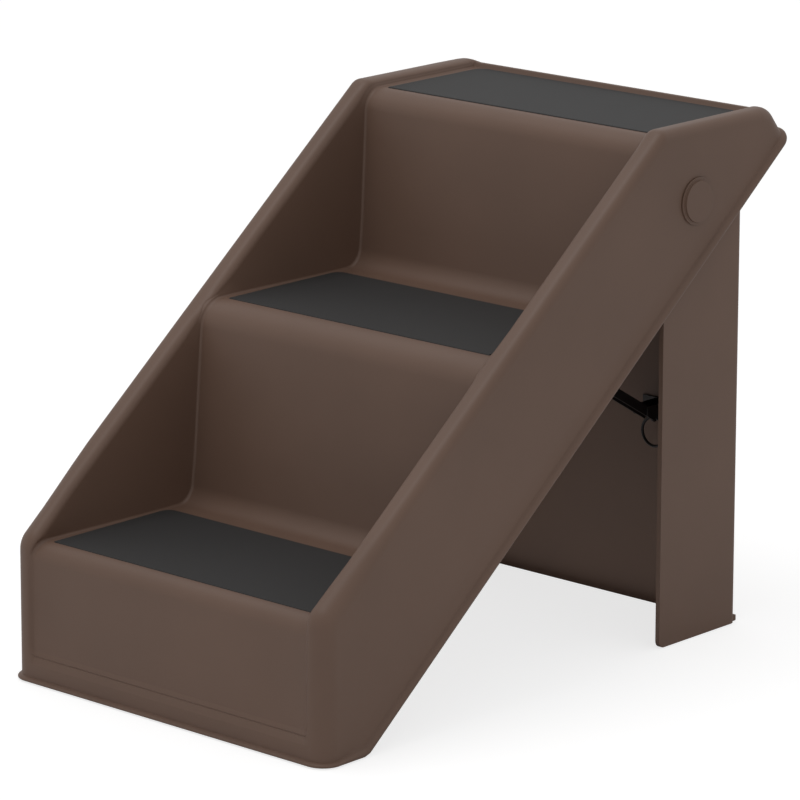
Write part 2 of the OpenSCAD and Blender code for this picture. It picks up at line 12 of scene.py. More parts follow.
import bmesh
import bpy
import numpy as np
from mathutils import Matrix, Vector


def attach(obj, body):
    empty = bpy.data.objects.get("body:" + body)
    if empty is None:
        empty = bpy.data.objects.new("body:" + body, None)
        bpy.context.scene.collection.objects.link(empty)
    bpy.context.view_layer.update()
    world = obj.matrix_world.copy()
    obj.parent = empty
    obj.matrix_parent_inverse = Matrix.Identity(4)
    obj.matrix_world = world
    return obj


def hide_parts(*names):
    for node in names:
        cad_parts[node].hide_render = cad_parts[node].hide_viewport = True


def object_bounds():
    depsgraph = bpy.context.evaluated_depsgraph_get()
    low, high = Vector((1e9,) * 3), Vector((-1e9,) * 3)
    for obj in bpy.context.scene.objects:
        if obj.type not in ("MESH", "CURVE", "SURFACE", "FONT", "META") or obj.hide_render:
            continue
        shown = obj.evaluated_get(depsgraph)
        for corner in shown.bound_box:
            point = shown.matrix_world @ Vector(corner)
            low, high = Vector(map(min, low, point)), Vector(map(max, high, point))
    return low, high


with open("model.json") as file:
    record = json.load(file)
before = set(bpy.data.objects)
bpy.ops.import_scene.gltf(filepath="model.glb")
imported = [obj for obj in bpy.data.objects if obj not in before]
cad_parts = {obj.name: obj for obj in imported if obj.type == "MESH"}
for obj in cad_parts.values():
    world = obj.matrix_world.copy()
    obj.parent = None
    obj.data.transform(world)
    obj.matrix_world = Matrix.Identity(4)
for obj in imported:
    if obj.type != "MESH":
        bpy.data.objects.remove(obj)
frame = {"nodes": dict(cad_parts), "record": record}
cad_low, cad_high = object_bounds()
MM = 0.001
print("CAD box in mm:", [round(v / MM, 1) for v in (cad_high - cad_low)])

# %% [markdown]
# ## Where things are
# The solids were drawn in stair coordinates: X across, Y from the front bottom line to the
# rear, Z up from the floor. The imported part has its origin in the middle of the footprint,
# so every Y is moved forward by half the depth. Stair coordinates are easy to compare with a
# tape measure on the real stairs. The rim and the underside climb side by side, so a place
# can also be given by s, the way along their slope.

# %% Stair coordinates
HALF_DEPTH = (cad_high.y - cad_low.y) / 2 / MM
SLOPE = math.radians(38.5)
ALONG = np.array([math.cos(SLOPE), math.sin(SLOPE)])
ACROSS = np.array([-math.sin(SLOPE), math.cos(SLOPE)])
FLOOR_GAP = 1.0
FOOT = np.array([59.1916, FLOOR_GAP])


def to_frame(points):
    """Stair coordinates in mm to the part's own frame in metres."""
    p = np.array(points, float).reshape(-1, 3)
    return (p - np.array([0, HALF_DEPTH, 0])) * MM


def on_slope(s, d):
    """The side-view point at s along the slope and d inside the open underside."""
    return FOOT + s * ALONG + d * ACROSS


def s_of(points):
    """How far along the slope each side-view point lies."""
    return (np.atleast_2d(points) - FOOT) @ ALONG


print("the slope starts at", FOOT, "and 100 mm on it is at", on_slope(100, 0).round(1))

# %% [markdown]
# ## A line with round corners
# A moulded shell has no sharp corner, so its side view is drawn with straight runs joined by
# arcs. A Bezier curve could draw it too, but then a tread wouldn't be truly flat, so the
# arcs are computed here, and the line gives a point and a normal for any length along it.


# %% Straight runs joined by arcs
def unit(v):
    return v / np.linalg.norm(v)


class Outline:
    """A run is its kind, its base point, its way or first arm, its turn and its length."""

    def __init__(self, corners, radii):
        corners = [np.array(c, float) for c in corners]
        self.runs, here = [], corners[0]
        for i in range(1, len(corners) - 1):
            a, b = unit(corners[i] - corners[i - 1]), unit(corners[i + 1] - corners[i])
            turn = math.atan2(a[0] * b[1] - a[1] * b[0], a @ b)
            reach = radii[i] * math.tan(abs(turn) / 2)
            start, end = corners[i] - a * reach, corners[i] + b * reach
            self.add_line(here, start)
            side = 1 if turn > 0 else -1
            centre = start + side * radii[i] * np.array([-a[1], a[0]])
            self.runs.append(("arc", centre, start - centre, turn, radii[i] * abs(turn)))
            here = end
        self.add_line(here, corners[-1])
        self.marks = np.concatenate([[0], np.cumsum([run[4] for run in self.runs])])
        self.length = self.marks[-1]

    def add_line(self, a, b):
        self.runs.append(("line", a, unit(b - a), 0.0, np.linalg.norm(b - a)))

    def at(self, lengths):
        """Points and outward normals, which lie to the left of the way along."""
        points, normals = [], []
        for want in np.clip(lengths, 0, self.length):
            i = min(np.searchsorted(self.marks, want, side="right") - 1, len(self.runs) - 1)
            kind, base, way, turn, length = self.runs[i]
            part = want - self.marks[i]
            if kind == "line":
                points.append(base + way * part)
                normals.append([-way[1], way[0]])
            else:
                angle = turn * part / length
                c, s = math.cos(angle), math.sin(angle)
                arm = np.array([way[0] * c - way[1] * s, way[0] * s + way[1] * c])
                points.append(base + arm)
                normals.append(arm / np.linalg.norm(arm) * (-1 if turn > 0 else 1))
        return np.array(points), np.array(normals)


sample = Outline([(0, 0), (50, 0), (50, 50)], [0, 10, 0])
print("a square corner of 50 + 50 mm, rounded by 10 mm, is", round(sample.length, 2), "long")

# %% [markdown]
# ## The rim
# The rim of a side wall climbs the upright front, rounds over, follows the slope, bends
# level at the top and turns down the rear face, square to the slope. The front face leans
# back a little, so that the moulding leaves its mould. The line may start above the bottom
# edge, because a bead takes the place of the lowest part.

# %% Draw the rim
FRONT_Y, LEAN = 4.0, math.tan(math.radians(0.4))
FRONT_H, RIM_H = 138.0, 508.0
BEND_Y, REAR_TOP_Y, REAR_S = 470.117, 632.717, 764.461
RIM_RADII = [0, 24, 14, 20, 0]


def front_point(z, depth=0.0):
    """A point on the front face, or set back behind it."""
    return (FRONT_Y + z * LEAN + depth, z)


def rear_point(z):
    """A point on the rear face."""
    return (REAR_TOP_Y + (RIM_H - z) * math.tan(SLOPE), z)


def rim_line(base):
    """The rim from the front to the rear, both ends base above the bottom edge."""
    start, end = front_point(FLOOR_GAP + base), on_slope(REAR_S, base)
    corners = [start, front_point(FRONT_H), (BEND_Y, RIM_H), (REAR_TOP_Y, RIM_H), end]
    return Outline(corners, RIM_RADII)


print("the rim is", round(rim_line(0).length, 1), "mm long")

# %% [markdown]
# ## The steps
# The steps' line starts on the same front face, sets back into the front panel over a fine
# groove, and then runs tread, hollow corner, riser and rounded nose, three times, up to the
# small lip behind the top tread. The inner skin gets a plainer line, because a moulded wall
# doesn't repeat every small set-back inside.

# %% Draw the steps
TREAD_1, TREAD_2, TREAD_3 = 135.0, 327.0, 500.0
RISER_2, RISER_3 = (209.982, 236.283), (447.623, 466.417)
CLIMB = [(RISER_2[0], TREAD_1), (RISER_2[1], TREAD_2),
         (RISER_3[0], TREAD_2), (RISER_3[1], TREAD_3)]
HOLLOW, NOSE_1, NOSE_2, NOSE_3 = 20, 17, 28, 22
CLIMB_RADII = [HOLLOW, NOSE_2, HOLLOW, NOSE_3]
PANEL_D = 3.4
BAND_STEPS = [(18.5, 0.0), (25.0, 2.0), (25.9, 2.8), (27.2, 2.1), (31.5, PANEL_D)]
BAND_RADII = [6, 0.8, 0.3, 0.8, 6]
LIP_Y, LIP_RUN, LIP_H = 625.2, 2.5, 505.0
LIP_RADII = [1.2, 1.4, 12]
REAR_INNER_R = 20


def step_line(base):
    """The steps as they are seen, with the panel's groove and the lip."""
    corners = [
        front_point(FLOOR_GAP + base), *[front_point(z, depth) for z, depth in BAND_STEPS],
        front_point(TREAD_1, PANEL_D), *CLIMB,
        (LIP_Y, TREAD_3), (LIP_Y + LIP_RUN, LIP_H), rear_point(LIP_H), on_slope(REAR_S, base),
    ]
    return Outline(corners, [0, *BAND_RADII, NOSE_1, *CLIMB_RADII, *LIP_RADII, 0])


def inner_step_line(base):
    """The steps as the inner skin follows them."""
    corners = [
        front_point(FLOOR_GAP + base, PANEL_D), front_point(TREAD_1, PANEL_D), *CLIMB,
        rear_point(TREAD_3), on_slope(REAR_S, base),
    ]
    return Outline(corners, [0, NOSE_1, *CLIMB_RADII, REAR_INNER_R, 0])


print("the steps are", round(step_line(0).length, 1), "mm outside and",
      round(inner_step_line(0).length, 1), "mm inside")

# %% [markdown]
# ## The underside
# A side wall ends below in an edge that lies flat behind the front corner and then climbs
# with the slope to the rear corner. It is the third line of the shell.

# %% Draw the edge of the underside
CORNER_FRONT, CORNER_REAR, FOOT_R = 17.0, 14.0, 12.0


def underside_line():
    corners = [(FRONT_Y + CORNER_FRONT, FLOOR_GAP), FOOT, on_slope(REAR_S - CORNER_REAR, 0)]
    return Outline(corners, [0, FOOT_R, 0])


print("the underside's edge is", round(underside_line().length, 1), "mm long")

# %% [markdown]
# ## Rows up the stairs
# The shell's surface is a grid: rows run up the stairs and columns run across them. Each
# row needs one point on the rim and one on the steps' line, and the two are paired square
# to the slope. Evenly spaced rows would be simpler, but rows that are closer together where
# either line turns keep noses and hollows smooth, while a flat tread takes only a few.

# %% Ask a line where it is and how far it turns
LINE_SAMPLES = 6000


def turn_between(line, a, b):
    """How far the line turns between two lengths, in radians."""
    total = 0.0
    for i, run in enumerate(line.runs):
        lap = min(b, line.marks[i + 1]) - max(a, line.marks[i])
        if run[0] == "arc" and lap > 0:
            total += abs(run[3]) * lap / run[4]
    return total


def length_at_s(line, s):
    """The length at which the line passes s, up to where it turns down the rear face."""
    grid = np.linspace(0, line.marks[-2], LINE_SAMPLES)
    return np.interp(s, s_of(line.at(grid)[0]), grid)


whole = step_line(0)
print("the steps turn by", round(math.degrees(turn_between(whole, 0, whole.length))), "degrees")

# %% Choose the rows
TURN_PER_ROW = math.radians(11)
LONGEST_ROW, LEAST_GAP = 34.0, 0.15
REAR_ROWS = 6


def feature_rows(rim, steps):
    """Values of s at which an arc starts or ends, without those that nearly coincide."""
    features = [s_of(line.at(line.marks[:-1])[0]) for line in (rim, steps)]
    features = np.sort(np.concatenate(features))
    kept = [features[0]]
    for s in features[1:]:
        if s - kept[-1] > LEAST_GAP:
            kept.append(s)
    return kept


def choose_rows(rim, steps):
    """Values of s for the rows from the front to the top of the rear face."""
    kept = feature_rows(rim, steps)
    rows = [kept[0]]
    for a, b in zip(kept[:-1], kept[1:]):
        (la, lb), (ra, rb) = length_at_s(steps, [a, b]), length_at_s(rim, [a, b])
        steps_turn, rim_turn = turn_between(steps, la, lb), turn_between(rim, ra, rb)
        parts = max(1, math.ceil(max(steps_turn, rim_turn) / TURN_PER_ROW),
                    math.ceil((lb - la) / LONGEST_ROW))
        line, first, last = (steps, la, lb) if steps_turn >= rim_turn else (rim, ra, rb)
        rows.extend(s_of(line.at(np.linspace(first, last, parts + 1))[0])[1:-1])
        rows.append(b)
    return np.array(rows)


def row_lengths(line, rows):
    """How far along a line each row meets it, and then evenly down the rear face."""
    climb = length_at_s(line, rows[:-1])
    fall = np.linspace(line.marks[-2], line.length, REAR_ROWS + 1)
    return np.concatenate([climb, fall])


ROWS = choose_rows(rim_line(0), step_line(0))
print("rows:", len(ROWS) + REAR_ROWS)

# %% [markdown]
# ## The shape of a side wall
# From the middle outwards a row crosses the tread, a small hollow fillet, the inner face of
# the side wall, the round rim, and the outer face down to the underside. The inner face
# leans out a little, as a mould needs. Where the wall stands only a few millimetres above
# the steps, at the noses and on the front panel, it turns into one soft S-shaped slope. A
# bevel can't change like that along an edge, so each row gets sizes of its own.

# %% Sizes of the wall at each row
FILLET, RIM_ROUND, RIM_R = 3.2, 9.0, 10.0
WALL_HIGH, WALL_DRAFT, DRAFT_DEPTH = 176.0, 7.0, 100.0
PANEL_HALF, PANEL_ROUND = 178.0, 4.0
PANEL_ENDS, PANEL_FADE = 118.0, 42.0  # where y + z leaves the panel, and over how much
UPRIGHT_FROM, UPRIGHT_FADE = 3.4, 4.0  # how high a wall is when it starts to stand upright
FRONT_CORNER_TOP, FRONT_CORNER_FADE = 218.0, 68.0
REAR_CORNER_FROM, REAR_CORNER_FADE = 16.0, 14.0


def ease(x):
    """A soft step from 0 to 1."""
    x = np.clip(x, 0, 1)
    return x * x * (3 - 2 * x)


def blend(a, b, part):
    return a + (b - a) * part


def wall_shape(rows):
    """For each row: x where the inner face starts and ends, its fillet and rim, how upright
    it is, and the radius of the outer corner. Both skins use it, so they never cross."""
    rim, steps = rim_line(0), step_line(0)
    w, _ = rim.at(row_lengths(rim, rows))
    s, _ = steps.at(row_lengths(steps, rows))
    depth = np.linalg.norm(w - s, axis=1)
    depth[-REAR_ROWS - 1:] = 0
    past_panel = ease((s[:, 0] + s[:, 1] - PANEL_ENDS) / PANEL_FADE)
    foot = WALL_HIGH - WALL_DRAFT * np.clip(depth / DRAFT_DEPTH, 0, 1)
    at_front = ease((FRONT_CORNER_TOP - w[:, 1]) / FRONT_CORNER_FADE)
    at_rear = ease((s_of(w) - (REAR_S - REAR_CORNER_FROM)) / REAR_CORNER_FADE)
    return {
        "low": blend(PANEL_HALF, foot, past_panel),
        "high": blend(PANEL_HALF, WALL_HIGH, past_panel),
        "fillet": blend(PANEL_ROUND, FILLET, past_panel),
        "rim": blend(PANEL_ROUND, RIM_ROUND, past_panel),
        "upright": ease((depth - UPRIGHT_FROM) / UPRIGHT_FADE),
        "corner": RIM_R + (CORNER_FRONT - RIM_R) * at_front + (CORNER_REAR - RIM_R) * at_rear,
    }


SHAPE = wall_shape(ROWS)
print("inner faces start from", round(SHAPE["low"].min(), 1), "to",
      round(SHAPE["low"].max(), 1), "mm from the middle")

# %% [markdown]
# ## Columns across a wall
# The inner skin is the same wall with every size moved inwards by the wall's thickness. A
# point on the wall is found twice, once on an upright wall and once on the soft slope, and
# the row's own sizes say how much of each it takes.

# %% One point of the wall in every row
HALF_W, LEAST_ROUND = 200.0, 0.4
N_FILLET, N_WALL, N_RIM = 6, 6, 8
SPAN = N_FILLET + N_WALL + N_RIM
MOST_RIM, MOST_FILLET = 0.55, 0.4  # parts of a low wall's height
SLOPE_START, SLOPE_END = 1.2, 2.4  # powers that bend the soft slope


def inset_wall(shape, inset):
    """The wall's sizes for a skin that lies inset behind the outer one."""
    half, corner = HALF_W - inset, shape["corner"] - inset
    fillet, rim = shape["fillet"] + inset, np.maximum(shape["rim"] - inset, LEAST_ROUND)
    low, high = shape["low"] + inset, np.minimum(shape["high"] + inset, half - corner - rim)
    return {**shape, "low": low, "high": high, "fillet": fillet, "rim": rim, "corner": corner,
            "start": low - fillet, "end": high + rim, "edge": half - corner, "half": half}


def upright_point(k, wall, depth):
    """Point k where the wall stands upright: hollow fillet, straight face, round rim."""
    drop = np.minimum(wall["rim"], depth * MOST_RIM)
    rise = np.minimum(wall["fillet"], depth * MOST_FILLET)
    if k <= N_FILLET:
        a = math.pi / 2 * k / N_FILLET
        return wall["start"] + wall["fillet"] * math.sin(a), rise * (1 - math.cos(a))
    if k <= N_FILLET + N_WALL:
        t = (k - N_FILLET) / N_WALL
        return blend(wall["low"], wall["high"], t), rise + (depth - drop - rise) * t
    a = math.pi / 2 * (k - N_FILLET - N_WALL) / N_RIM
    return wall["high"] + wall["rim"] * (1 - math.cos(a)), depth - drop * (1 - math.sin(a))


def wall_point(k, wall, depth):
    """Point k of every row, as x and as height above the steps."""
    x, up = upright_point(k, wall, depth)
    t, upright = k / SPAN, wall["upright"]
    soft_x = blend(wall["start"], wall["end"], t)
    soft_up = depth * (1 - (1 - t ** SLOPE_START) ** SLOPE_END)
    return x * upright + soft_x * (1 - upright), up * upright + soft_up * (1 - upright)


print("a wall takes", SPAN, "columns")

# %% [markdown]
# ## One skin of the shell
# Now a skin is put together from the middle of the tread to the underside. Along its edge it
# also gives two ways, outwards and upwards, which the bead will follow round the corners.

# %% Put the columns together
N_CENTRE, N_FLAT, N_CORNER, N_SIDE = 4, 2, 9, 7
CORNER_ANGLES = [math.pi / 2 * k / N_CORNER for k in range(1, N_CORNER + 1)]
UNDER_MARKS = [0, 18, 68, 645, 657, 747, 757]  # along the underside, for each mark of the rim
LEAST_DEPTH = 0.001


def edge_ways(grid, swing, nw, nu):
    """The ways outwards and upwards at the points of a skin."""
    out, up = np.zeros_like(grid), np.zeros_like(grid)
    for c, a in enumerate(swing):
        out[:, c, 0] = math.sin(a)
        out[:, c, 1:] = nw * math.cos(a)
    up[:, -1, 1:] = nu
    up[0, :, 2] = 1.0
    up[-1, :, 1:] = ACROSS
    return out, up


def skin_grid(rim, steps, inset, base):
    """Half of one skin by row and column, with its ways outwards and upwards."""
    rim_lengths = row_lengths(rim, ROWS)
    w, nw = rim.at(rim_lengths)
    s, ns = steps.at(row_lengths(steps, ROWS))
    w, s = w - nw * inset, s - ns * inset
    depth, wall = np.linalg.norm(w - s, axis=1), inset_wall(SHAPE, inset)
    columns = [(wall["start"] * k / N_CENTRE, s) for k in range(N_CENTRE + 1)]
    for k in range(1, SPAN + 1):
        x, up = wall_point(k, wall, depth)
        columns.append((x, s + (w - s) * (up / np.maximum(depth, LEAST_DEPTH))[:, None]))
    end, edge, corner = wall["end"], wall["edge"], wall["corner"]
    columns += [(end + (edge - end) * k / N_FLAT, w) for k in range(1, N_FLAT + 1)]
    swing = [0.0] * len(columns) + CORNER_ANGLES + [math.pi / 2] * N_SIDE
    for a in CORNER_ANGLES:
        back = (corner * (1 - math.cos(a)))[:, None]
        columns.append((edge + corner * math.sin(a), w - nw * back))
    side_top, under = columns[-1][1], underside_line()
    u, nu = under.at(np.interp(rim_lengths, rim.marks, UNDER_MARKS + [under.length]))
    u = u + nu * base
    for t in [k / N_SIDE for k in range(1, N_SIDE + 1)]:
        columns.append((wall["half"], side_top * (1 - t) + u * t))
    grid = np.stack([np.column_stack([np.broadcast_to(x, len(p)), p]) for x, p in columns], 1)
    return grid, *edge_ways(grid, swing, nw, nu)


SKIN, BEAD_TOP = 3.2, 9.0
outer, outward, upward = skin_grid(rim_line(BEAD_TOP), step_line(BEAD_TOP), 0.0, BEAD_TOP)
inner, _, _ = skin_grid(rim_line(0), inner_step_line(0), SKIN, 0.0)
print("each skin has", outer.shape[0], "rows and", outer.shape[1], "columns to a side")

# %% [markdown]
# ## The shell
# Both skins have the same rows and columns, so their edges match point for point. A bead
# runs round the open underside between them, as on the real moulding, and closes the wall.
# The mesh could also be a box model with Bevel and Subdivision modifiers, but the roundings
# here change size along each edge, which a grid of known points does exactly.

# %% Turn points and faces into an object
MERGE, SLIVER, SAME_DIGITS = 0.00004, 0.00002, 7


def add_object(name, data):
    """An object for some data, put in the scene."""
    obj = bpy.data.objects.new(name, data)
    bpy.context.scene.collection.objects.link(obj)
    return obj


def object_from(name, bm):
    """An object for a finished bmesh."""
    mesh = bpy.data.meshes.new(name)
    bm.to_mesh(mesh)
    bm.free()
    print(name, "starts with", len(mesh.polygons), "faces")
    return add_object(name, mesh)


def mirrored_object(name, points, faces):
    """An object from the right half in stair coordinates and its mirror image."""
    bm = bmesh.new()
    for side in (1, -1):
        verts = [bm.verts.new(p) for p in to_frame(np.array(points) * [side, 1, 1])]
        for f in faces:
            corners = [verts[i] for i in (f if side > 0 else f[::-1])]
            if len({tuple(round(c, SAME_DIGITS) for c in v.co) for v in corners}) > 2:
                bm.faces.new(corners)
    bmesh.ops.remove_doubles(bm, verts=bm.verts, dist=MERGE)
    bmesh.ops.dissolve_degenerate(bm, edges=bm.edges, dist=SLIVER)
    loose = [v for v in bm.verts if not v.link_faces]
    bmesh.ops.delete(bm, geom=loose, context="VERTS")
    return object_from(name, bm)


def smooth(obj, angle=38):
    """Smooth shading that keeps edges sharper than the angle."""
    obj.data.shade_smooth()
    obj.data.set_sharp_from_angle(angle=math.radians(angle))
    return obj


print("points closer than", MERGE / MM, "mm become one")

# %% Close the shell with a bead
FRONT_BEAD, BEAD_FADE_FROM, BEAD_FADE = 0.5, 2, 50  # the bead is lower along the front
BEAD_SECTION = [
    (0.1, 8.75), (0.35, 8.45), (1.3, 7.95), (2.5, 7.0), (3.4, 5.8), (3.9, 4.5), (4.0, 3.3),
    (3.85, 2.1), (3.4, 1.1), (2.6, 0.3), (1.6, 0.0), (0.0, 0.0),
]


def edge_loop(grid):
    """Along the bottom front edge, up the side and back along the bottom rear edge."""
    last_row, last_col = grid.shape[0] - 1, grid.shape[1] - 1
    loop = [(0, c) for c in range(last_col)]
    loop += [(r, last_col) for r in range(last_row)]
    loop += [(last_row, c) for c in range(last_col, -1, -1)]
    return loop


def grid_faces(rows, cols, offset, flip):
    faces = []
    for r in range(rows - 1):
        for c in range(cols - 1):
            a = offset + r * cols + c
            quad = [a, a + 1, a + cols + 1, a + cols]
            faces.append(quad[::-1] if flip else quad)
    return faces


def strip(before, after):
    """The faces between two rows of points."""
    return [[before[i], after[i], after[i + 1], before[i + 1]] for i in range(len(after) - 1)]


def build_shell():
    rows, cols = outer.shape[:2]
    points = list(outer.reshape(-1, 3)) + list(inner.reshape(-1, 3))
    faces = grid_faces(rows, cols, 0, False) + grid_faces(rows, cols, rows * cols, True)
    loop = edge_loop(outer)
    before = [r * cols + c for r, c in loop]
    for reach, height in BEAD_SECTION:
        ring = []
        for r, c in loop:
            ring.append(len(points))
            back = ease((outer[r, c, 1] - FRONT_Y - BEAD_FADE_FROM) / BEAD_FADE)
            rise = height * (FRONT_BEAD + (1 - FRONT_BEAD) * back) - BEAD_TOP
            points.append(outer[r, c] + outward[r, c] * reach + upward[r, c] * rise)
        faces += strip(before, ring)
        before = ring
    faces += strip(before, [rows * cols + r * cols + c for r, c in loop])
    return smooth(mirrored_object("shell_moulding", points, faces))


shell = build_shell()
print("shell:", len(shell.data.polygons), "faces")

# %% [markdown]
# ## How a finish is made
# All of the stairs is plain stuff. Colour varies only a little on it, and most of what the
# eye reads as material is the bump and the roughness. An image could hold both, but noise on
# Object coordinates needs no image and stays fixed to its piece when the leg folds.

# %% A finish from noise
CLOUD_SCALE, CLOUD_DETAIL, GRAIN_DETAIL = 9.0, 5.0, 2.0
TINT_FROM, TINT_TO = 0.3, 0.7
ROUGHNESS_SPREAD, SPECULAR = 0.05, 0.4


def srgb(r, g, b):
    """A screen colour from 0 to 255 as the linear values that a shader takes."""
    def linear(v):
        v /= 255
        return v / 12.92 if v <= 0.04045 else ((v + 0.055) / 1.055) ** 2.4
    return [linear(r), linear(g), linear(b)]


def add_noise(tree, place, scale, detail):
    noise = tree.nodes.new("ShaderNodeTexNoise")
    noise.inputs["Scale"].default_value = scale
    noise.inputs["Detail"].default_value = detail
    tree.links.new(place.outputs["Object"], noise.inputs["Vector"])
    return noise


def add_tint(tree, noise, colour, spread):
    """The colour, from slightly darker to slightly lighter with the noise."""
    tint = tree.nodes.new("ShaderNodeValToRGB")
    low, high = tint.color_ramp.elements
    low.position, high.position = TINT_FROM, TINT_TO
    low.color = [c * (1 - spread) for c in colour] + [1]
    high.color = [min(1, c * (1 + spread)) for c in colour] + [1]
    tree.links.new(noise.outputs["Fac"], tint.inputs["Fac"])
    return tint.outputs["Color"]


def add_bump(tree, noise, depth_mm):
    bump = tree.nodes.new("ShaderNodeBump")
    bump.inputs["Distance"].default_value = depth_mm * MM
    tree.links.new(noise.outputs["Fac"], bump.inputs["Height"])
    return bump


def finish(name, colour, spread, roughness, grain_mm, grain_depth, metallic=0.0, wave_depth=0.0):
    """A procedural material: colour varies in soft clouds, roughness and bump with a grain."""
    material = bpy.data.materials.new(name)
    material.use_nodes = True
    tree, link = material.node_tree, material.node_tree.links.new
    shader, place = tree.nodes["Principled BSDF"], tree.nodes.new("ShaderNodeTexCoord")
    clouds = add_noise(tree, place, CLOUD_SCALE, CLOUD_DETAIL)
    grain = add_noise(tree, place, 1.0 / (grain_mm * MM), GRAIN_DETAIL)
    link(add_tint(tree, clouds, colour, spread), shader.inputs["Base Color"])
    rough = tree.nodes.new("ShaderNodeMapRange")
    rough.inputs["To Min"].default_value = roughness - ROUGHNESS_SPREAD
    rough.inputs["To Max"].default_value = roughness + ROUGHNESS_SPREAD
    link(grain.outputs["Fac"], rough.inputs["Value"])
    link(rough.outputs["Result"], shader.inputs["Roughness"])
    shader.inputs["Metallic"].default_value = metallic
    shader.inputs["Specular IOR Level"].default_value = SPECULAR
    bump = add_bump(tree, grain, grain_depth)
    if wave_depth:
        link(add_bump(tree, clouds, wave_depth).outputs["Normal"], bump.inputs["Normal"])
    link(bump.outputs["Normal"], shader.inputs["Normal"])
    return material


print("a screen grey of 128 is", round(srgb(128, 128, 128)[0], 3), "to a shader")

# %% [markdown]
# ## Moulded plastic
# The shell and the leg are the same brown plastic with a fine grain and a soft sheen. A
# moulding cools unevenly, so its broad faces are never quite flat. A second, wide bump under
# the grain gives that slight wave. The leg is a moulding of its own and a touch lighter.

# %% Brown plastic
PLASTIC = dict(spread=0.05, roughness=0.52, grain_mm=0.9, grain_depth=0.05, wave_depth=0.6)
MOULDED = finish("moulded brown plastic", srgb(100, 77, 64), **PLASTIC)
LEG_PLASTIC = finish("leg plastic", srgb(101, 78, 65), **PLASTIC)
shell.data.materials.append(MOULDED)
print("plastics:", [m.name for m in (MOULDED, LEG_PLASTIC)])

# %% [markdown]
# ## Rubber and washers
# The grip mats look flat and dull, because their grain is much deeper than that of the
# plastic. A weave or ribs could be drawn on them, but the real mats show none. The small feet
# are a darker rubber, and the washers a hard, smoother plastic.

# %% Mats, feet and washers
MAT_RUBBER = finish("grip mat", srgb(37, 36, 36), spread=0.06, roughness=0.74,
                    grain_mm=0.7, grain_depth=0.18)
BLACK_RUBBER = finish("black rubber", srgb(28, 28, 28), spread=0.08, roughness=0.75,
                      grain_mm=0.8, grain_depth=0.08)
WASHER_PLASTIC = finish("washer plastic", srgb(30, 30, 30), spread=0.05, roughness=0.4,
                        grain_mm=1.0, grain_depth=0.02)
print("rubber and washers:", [m.name for m in (MAT_RUBBER, BLACK_RUBBER, WASHER_PLASTIC)])

# %% [markdown]
# ## Steel
# The struts, catches and rings are coated dark, so they are only partly metallic: the shader
# then keeps the coat's own colour and a dim shine. The brackets, clips and fasteners are
# plated with zinc and are metal throughout.

# %% Dark and plated steel
DARK_STEEL = finish("dark coated steel", srgb(44, 40, 40), spread=0.12, roughness=0.42,
                    grain_mm=0.5, grain_depth=0.03, metallic=0.35)
RING_STEEL = finish("dark ring steel", srgb(34, 32, 32), spread=0.12, roughness=0.34,
                    grain_mm=0.5, grain_depth=0.02, metallic=0.5)
BRIGHT_STEEL = finish("zinc-plated steel", srgb(165, 165, 162), spread=0.1, roughness=0.36,
                      grain_mm=0.6, grain_depth=0.02, metallic=1.0)
print("steels:", [m.name for m in (DARK_STEEL, RING_STEEL, BRIGHT_STEEL)])

# %% [markdown]
# ## One shape, many places
# Ribs, screw bosses, screws and rivets are each one shape in several places. An Array could
# repeat them, but only in even steps. Geometry Nodes copy a shape onto any points, so one
# small tree does for all of them. It ends with real geometry and a finish, and its result is
# turned into a plain mesh.

# %% Start and end a tree
def start_tree(name, inputs):
    """A tree for a modifier, with its named inputs and its two end nodes."""
    tree = bpy.data.node_groups.new(name, "GeometryNodeTree")
    tree.is_modifier = True
    tree.interface.new_socket("Geometry", in_out="OUTPUT", socket_type="NodeSocketGeometry")
    for label, kind in inputs.items():
        tree.interface.new_socket(label, in_out="INPUT", socket_type="NodeSocket" + kind)
    return tree, tree.nodes.new("NodeGroupInput"), tree.nodes.new("NodeGroupOutput")


def end_tree(tree, given, result, geometry):
    """Makes the geometry real, gives it the finish and hands it out."""
    new, link = tree.nodes.new, tree.links.new
    real, paint = new("GeometryNodeRealizeInstances"), new("GeometryNodeSetMaterial")
    link(geometry, real.inputs["Geometry"])
    link(real.outputs["Geometry"], paint.inputs["Geometry"])
    link(given.outputs["Finish"], paint.inputs["Material"])
    link(paint.outputs["Geometry"], result.inputs["Geometry"])
    print("tree", tree.name, "has", len(tree.nodes), "nodes")
    return tree


# %% A tree that copies one shape onto points
def copies_tree(name):
    """Copies an object's mesh onto the points of the mesh that carries the modifier."""
    tree, given, result = start_tree(name, {
        "Points": "Geometry", "Shape": "Object", "Size": "Float", "Finish": "Material"})
    new, link = tree.nodes.new, tree.links.new
    shape, copy = new("GeometryNodeObjectInfo"), new("GeometryNodeInstanceOnPoints")
    link(given.outputs["Shape"], shape.inputs["Object"])
    link(given.outputs["Points"], copy.inputs["Points"])
    link(shape.outputs["Geometry"], copy.inputs["Instance"])
    link(given.outputs["Size"], copy.inputs["Scale"])
    return end_tree(tree, given, result, copy.outputs["Instances"])


COPIES = copies_tree("Copies on points")
print("its sockets:", [item.name for item in COPIES.interface.items_tree])


# %% Run a tree and keep its result
def socket_id(tree, name):
    """The identifier by which a modifier knows a named input."""
    for item in tree.interface.items_tree:
        if item.item_type == "SOCKET" and item.in_out == "INPUT" and item.name == name:
            return item.identifier
    raise KeyError(name)


def bake(obj):
    """Turns an object's modifiers into its plain mesh."""
    bpy.context.view_layer.update()
    baked = bpy.data.meshes.new_from_object(
        obj.evaluated_get(bpy.context.evaluated_depsgraph_get()))
    obj.modifiers.clear()
    obj.data = baked


